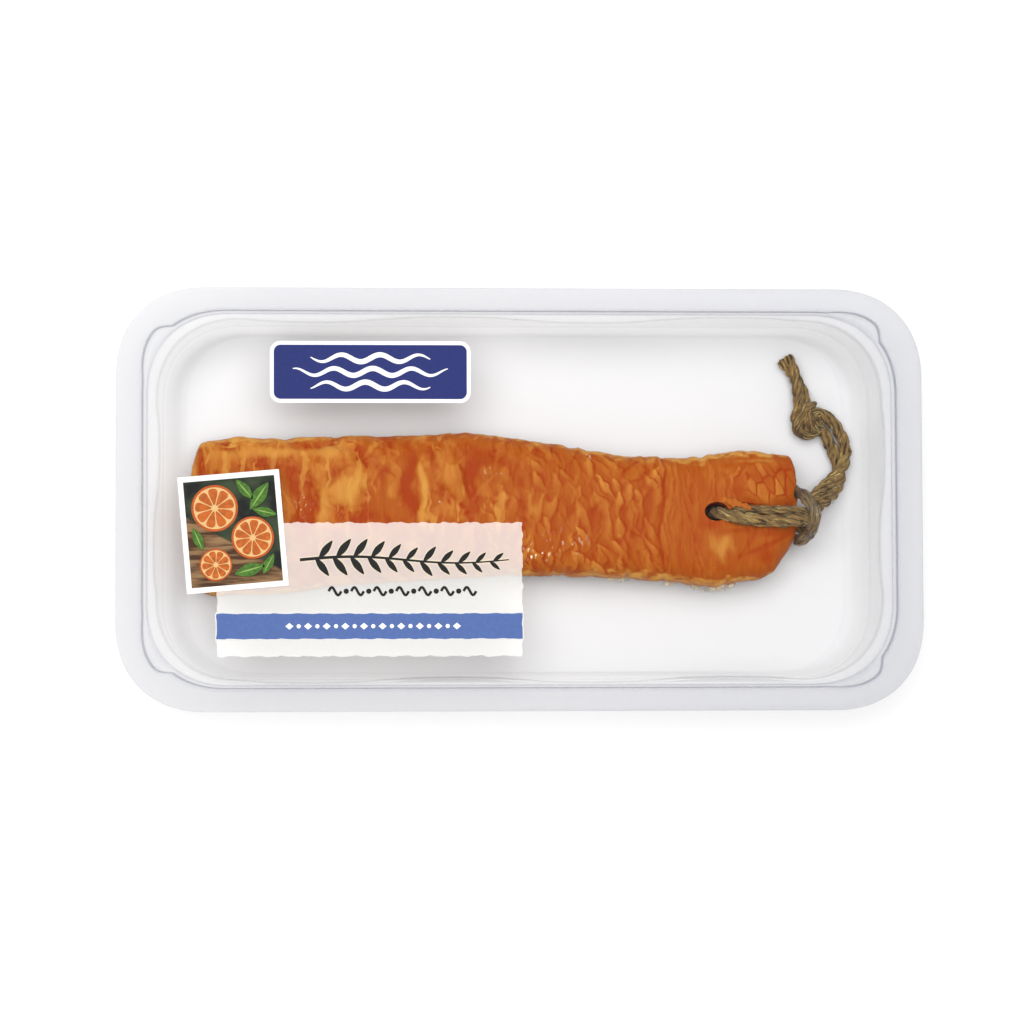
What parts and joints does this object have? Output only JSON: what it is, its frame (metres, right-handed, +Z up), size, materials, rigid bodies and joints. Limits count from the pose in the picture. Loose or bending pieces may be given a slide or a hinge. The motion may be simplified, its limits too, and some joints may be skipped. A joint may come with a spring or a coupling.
{
  "type": "pack of smoked salmon",
  "caption": "Sealed clear tray with a film lid, holding a thick strip of smoked salmon on its twine, with plain labels on the film.",
  "frame": {"origin": "middle of the tray's base, on the surface that it stands on", "axes": "+X along the pack, +Y across it towards the name plate, +Z up out of the film"},
  "size_m": [0.23, 0.1204, 0.0281],
  "materials": {
    "tray_plastic": "clear formed sheet, slightly milky at its bends",
    "lid_plastic": "clear, thin, glossy film",
    "salmon_flesh": "moist orange flesh with pale flakes, slightly oily",
    "jute": "coarse twisted natural twine",
    "white_print": "see-through white print with a deckled edge",
    "blue_print": "flat mid-blue print",
    "navy_print": "flat navy print with a white edge",
    "card_print": "printed card with a white border"
  },
  "bodies": {
    "root": {"tray": "tray_plastic", "lid_film": "lid_plastic", "salmon": "salmon_flesh", "twine_loop": "jute", "twine_tail": "jute", "twine_knot": "jute", "label_panel": "white_print", "label_band": "blue_print", "name_plate": "navy_print", "picture_card": "card_print"}
  },
  "joints": []
}
